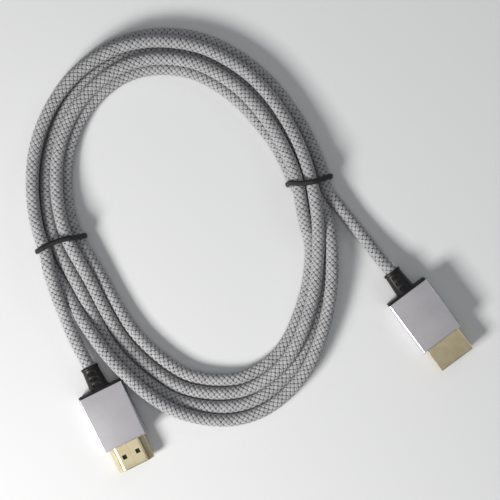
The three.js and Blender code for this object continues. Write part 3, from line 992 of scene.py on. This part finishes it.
def plug_place(plug):
    x, y = plug["front"]
    turn = Matrix.Rotation(math.radians(plug["heading"]), 4, "Z")
    if plug["narrow_up"]:
        turn = turn @ Matrix.Rotation(math.pi, 4, "X")
    return Matrix.Translation(Vector((x, y, SLEEVE_T / 2)) * MM) @ turn @ Matrix.Diagonal((MM, MM, MM, 1))


def plug_piece(prefix, name, bm, materials):
    """A plug's piece in the place where the plug lies, from a mesh in the plug's own millimetres."""
    bmesh.ops.transform(bm, matrix=plug_place(PLUGS[prefix]), verts=bm.verts)
    mesh = mesh_of(f"{prefix}_{name}", bm)
    for material in materials:
        mesh.materials.append(material)
    return new_piece(f"{prefix}_{name}", mesh)


def mirrored(right):
    return [*right, *((-y, z) for y, z in reversed(right))]


def octagon(width, height, cut, cut_height=None):
    """A rectangle with its corners cut off."""
    w, h, c, d = width / 2, height / 2, cut, cut_height or cut
    return mirrored([(w - c, -h), (w, d - h), (w, h - d), (w - c, h)])


def inset(outline, distance):
    """The outline a distance inside another, whose corners run anticlockwise."""
    corners = [Vector(p) for p in outline]
    edges = []
    for k, corner in enumerate(corners):
        along = (corners[(k + 1) % len(corners)] - corner).normalized()
        inward = Vector((-along.y, along.x))
        edges.append((inward, corner.dot(inward) + distance))
    moved = []
    for k in range(len(corners)):
        (one, one_at), (two, two_at) = edges[k - 1], edges[k]
        across = one.x * two.y - one.y * two.x
        y, z = one_at * two.y - two_at * one.y, two_at * one.x - one_at * two.x
        moved.append((y / across, z / across))
    return moved


SHELL_OUTSIDE = mirrored([
    (4.30, -2.225), (4.46, -2.02), (4.76, -2.02), (5.38, -1.58), (6.74, -0.25), (6.95, -0.02), (6.95, 2.0),
    (6.76, 2.225),
])
SHELL_POLISHED = (2, 4, 6)  # corners of its right half with a polished edge up to the next, painted lighter as a highlight
SHELL_FULL = mirrored([(4.6, -2.225), (5.4, -1.625), (6.95, -0.075), (6.95, 2.225)])


def ring_at(x, outline):
    return [(x, y, z) for y, z in outline]


def box_shape(bm, low, high):
    """A closed block between two corners."""
    corners = [(low[1], low[2]), (high[1], low[2]), (high[1], high[2]), (low[1], high[2])]
    skin(bm, [ring_at(x, corners) for x in (low[0], high[0])], caps=True)


class AVCABLE_OT_sleeves(bpy.types.Operator):
    """Makes the two flat anodised sleeves with their bright cut edges"""

    bl_idname = "avcable.sleeves"
    bl_label = "Sleeves"

    def execute(self, context):
        materials = [sleeve_finish(), cut_edge_finish()]
        outside = octagon(SLEEVE_W, SLEEVE_T, *SLEEVE_CUT)
        bore = octagon(SLEEVE_W - 2 * SLEEVE_WALL, SLEEVE_T - 2 * SLEEVE_WALL, BORE_CUT)
        rings = [
            ring_at(-SLEEVE_L, inset(outside, SLEEVE_BACK_BEVEL)),
            ring_at(-SLEEVE_L + SLEEVE_BACK_BEVEL, outside), ring_at(-SLEEVE_FRONT_BEVEL, outside),
            ring_at(0, inset(outside, SLEEVE_FRONT_BEVEL)), ring_at(0, bore), ring_at(-SLEEVE_L, bore),
        ]
        for prefix in PLUGS:
            bm = bmesh.new()
            skin(bm, rings, closed=True, strips=[1, 0, 1, 0, 0, 0])
            bm.normal_update()
            # Its long slanted edges are cut bright too
            for face in bm.faces:
                slanted = min(abs(face.normal.y), abs(face.normal.z)) > 0.2
                outer = abs(face.calc_center_median().y) > SLEEVE_W / 2 - 0.6
                if slanted and outer and face.calc_area() > 4:
                    face.material_index = 1
            sleeve = plug_piece(prefix, "housing", bm, materials)
            sharpen(sleeve, 25, 0.05)
            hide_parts(prefix + "_sleeve")
        return {"FINISHED"}


class AVCABLE_OT_mouldings(bpy.types.Operator):
    """Makes the black moulding in each sleeve and over its cable end, and the strain relief on it"""

    bl_idname = "avcable.mouldings"
    bl_label = "Mouldings"

    def execute(self, context):
        body_finish = moulding_finish()
        relief_finish = moulding_finish("relief_rubber", 0.34)
        around = SLEEVE_WALL + FIT_GAP
        body = octagon(SLEEVE_W - 2 * around, SLEEVE_T - 2 * around, BORE_CUT)
        plate = octagon(SLEEVE_W - 2 * END_PLATE_INSET, SLEEVE_T - 2 * END_PLATE_INSET, END_PLATE_CUT)
        pocket = inset(SHELL_FULL, -FIT_GAP)
        back = -SLEEVE_BACK
        rings = [
            ring_at(back, inset(plate, END_PLATE_BEVEL)), ring_at(back + END_PLATE_BEVEL, plate),
            ring_at(back + END_PLATE_L, plate), ring_at(back + END_PLATE_L, body),
            ring_at(-MOULDING_BACK, body), ring_at(-MOULDING_BACK, pocket),
            ring_at(-SHELL_ROOT - SHELL_BACK_GAP, pocket),
        ]
        for prefix in PLUGS:
            bm = bmesh.new()
            skin(bm, rings, caps=True)
            moulding = plug_piece(prefix, "moulding", bm, [body_finish])
            sharpen(moulding, 30, 0.05)
            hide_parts(prefix + "_overmold")

            relief = self.make_relief(prefix, back, relief_finish)
            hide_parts(prefix + "_overmold")
        return {"FINISHED"}

    def make_relief(self, prefix, back, material):
        """A tapered sleeve with a lip at its mouth, and three slots with a bar in each, on both faces."""
        mouth = back - BOOT_L
        root_r, mouth_r = BOOT_ROOT_D / 2, BOOT_MOUTH_D / 2
        hole = CABLE_D / 2 + BOOT_HOLE_GAP
        depth = MOUTH_DEPTH + FIT_GAP
        profile = [
            (back - 0.02, root_r + 0.35), (back - 0.3, root_r + 0.3), (back - 0.75, root_r + 0.02),
            (mouth + 1.15, mouth_r - 0.02), (mouth + 0.95, mouth_r + 0.16), (mouth + 0.8, mouth_r + 0.22),
            (mouth + 0.2, mouth_r + 0.2), (mouth + 0.06, mouth_r + 0.12), (mouth, mouth_r - 0.04),
            (mouth, hole + 0.12), (mouth + 0.12, hole), (mouth + depth, hole),
        ]
        turns = [2 * math.pi * k / BOOT_SIDES for k in range(BOOT_SIDES)]
        rings = [[(x, r * math.cos(t), r * math.sin(t)) for t in turns] for x, r in profile]
        bm = bmesh.new()
        skin(bm, rings, caps=True)
        relief = plug_piece(prefix, "strain_relief", bm, [material])
        middle = back - BOOT_L / 2 + SLOT_SHIFT
        spots = [(middle + SLOT_SPACING * k, side) for k in (-1, 0, 1) for side in (1, -1)]
        slots = bmesh.new()
        for x, side in spots:
            outline = self.slot_outline(x)
            heights = sorted((side * (mouth_r - SLOT_DEPTH), side * (root_r + OVERSHOOT)))
            skin(slots, [[(px, py, z) for px, py in outline] for z in heights], caps=True)
        cut_with(relief, prefix, slots)
        sharpen(relief, 34, 0.08)

        # The low round bar in the floor of each slot
        place = plug_place(PLUGS[prefix])
        bars = bmesh.new()
        bars.from_mesh(relief.data)
        for x, side in spots:
            centre = Vector((x, 0, side * (mouth_r - BAR_DEPTH)))
            shape = place @ Matrix.Translation(centre) @ Matrix.Diagonal((*BAR_RADII, 1))
            made = bmesh.ops.create_uvsphere(bars, u_segments=20, v_segments=12, radius=1, matrix=shape)
            for vert in made["verts"]:
                for face in vert.link_faces:
                    face.smooth = True
        bars.to_mesh(relief.data)
        bars.free()
        return relief

    def slot_outline(self, x):
        """A long hole with round ends, across the relief."""
        outline = []
        for side in (1, -1):
            for k in range(SLOT_END_STEPS + 1):
                turn = math.pi * k / SLOT_END_STEPS
                reach = SLOT_REACH + SLOT_RADIUS * math.sin(turn)
                outline.append((x + side * SLOT_RADIUS * math.cos(turn), side * reach))
        return outline


class AVCABLE_OT_shells(bpy.types.Operator):
    """Makes the two plated shells, with polished edges painted lighter as a highlight, a seam and two
    windows in the narrow face
    """

    bl_idname = "avcable.shells"
    bl_label = "Shells"

    def execute(self, context):
        # The polished edges and the tip bevel get a gold lighter in colour, a painted highlight; the wide
        # face gets a darker, rougher gold
        plain, polished, matt = 0, 1, 2
        materials = [gold_finish(), gold_finish("shell_polished_edge_painted_highlight", 1.0), gold_finish("shell_matt", -1.0)]
        count = len(SHELL_OUTSIDE)
        bright = {*SHELL_POLISHED, *(count - 2 - k for k in SHELL_POLISHED)}
        wide = count // 2 - 1
        rings = [
            ring_at(-SHELL_ROOT, SHELL_OUTSIDE), ring_at(SHELL_REACH - TIP_BEVEL_L, SHELL_OUTSIDE),
            ring_at(SHELL_REACH, inset(SHELL_OUTSIDE, TIP_BEVEL)),
        ]
        ends = (-SHELL_ROOT - OVERSHOOT, SHELL_REACH + OVERSHOOT)
        inside = inset(SHELL_FULL, SHELL_WALL)
        face = -SHELL_T / 2
        x = SHELL_REACH - WINDOW_BACK
        under, half = face - OVERSHOOT, WINDOW_HALF
        holes = [
            ((x - half, y - half, under), (x + half, y + half, face + half))
            for y in (-WINDOW_SIDE, WINDOW_SIDE)
        ]
        holes.append(((ends[0], -SEAM_HALF, under), (ends[1], SEAM_HALF, face + SEAM_DEPTH)))
        for prefix in PLUGS:
            bm = bmesh.new()
            skin(bm, rings, caps=True)
            bm.faces.ensure_lookup_table()
            for k in range(2 * count):
                corner = k % count
                shiny = corner in bright or k >= count
                bm.faces[k].material_index = polished if shiny else matt if corner == wide else plain
            shell = plug_piece(prefix, "plated_shell", bm, materials)

            bore = bmesh.new()
            skin(bore, [ring_at(end, inside) for end in ends], caps=True)
            cut_with(shell, prefix, bore)
            for low, high in holes:
                hole = bmesh.new()
                box_shape(hole, low, high)
                cut_with(shell, prefix, hole)
            sharpen(shell, 18, 0.03, 1)
            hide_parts(prefix + "_shell")
        return {"FINISHED"}


class AVCABLE_OT_contacts(bpy.types.Operator):
    """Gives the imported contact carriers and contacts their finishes"""

    bl_idname = "avcable.contacts"
    bl_label = "Contacts"

    def execute(self, context):
        carrier = moulding_finish("carrier_plastic", 0.45)
        contact = gold_finish("contact_gold", polish_and_painted_light=0.4)
        finishes = {"carrier": carrier, "contacts_upper": contact, "contacts_lower": contact}
        for prefix in PLUGS:
            for part, material in finishes.items():
                mesh = frame["nodes"][f"{prefix}_{part}"].data
                mesh.materials.clear()
                mesh.materials.append(material)
        return {"FINISHED"}


class AVCABLE_PT_panel(bpy.types.Panel):
    """The cable's settings, and a button for each of its pieces"""

    bl_idname = "AVCABLE_PT_panel"
    bl_label = "Cable"
    bl_space_type = "VIEW_3D"
    bl_region_type = "UI"
    bl_category = "Cable"

    def draw(self, context):
        for name, group in SETTINGS.items():
            box = self.layout.box()
            box.label(text=name.title())
            for key in group.__annotations__:
                box.prop(settings(name), key)
        for operator in OPERATORS:
            self.layout.operator(operator.bl_idname)


OPERATORS = (
    AVCABLE_OT_stage, AVCABLE_OT_sleeves, AVCABLE_OT_mouldings, AVCABLE_OT_shells, AVCABLE_OT_contacts,
    AVCABLE_OT_ties, AVCABLE_OT_cable,
)


def register():
    for name, group in SETTINGS.items():
        bpy.utils.register_class(group)
        setattr(bpy.types.Scene, "av_cable_" + name, bpy.props.PointerProperty(type=group))
    for made in (*OPERATORS, AVCABLE_PT_panel):
        bpy.utils.register_class(made)


def unregister():
    for made in (AVCABLE_PT_panel, *reversed(OPERATORS)):
        bpy.utils.unregister_class(made)
    for name, group in SETTINGS.items():
        delattr(bpy.types.Scene, "av_cable_" + name)
        bpy.utils.unregister_class(group)


def main():
    register()
    for operator in OPERATORS:
        group, name = operator.bl_idname.split(".")
        getattr(getattr(bpy.ops, group), name)()


if __name__ == "__main__":
    main()
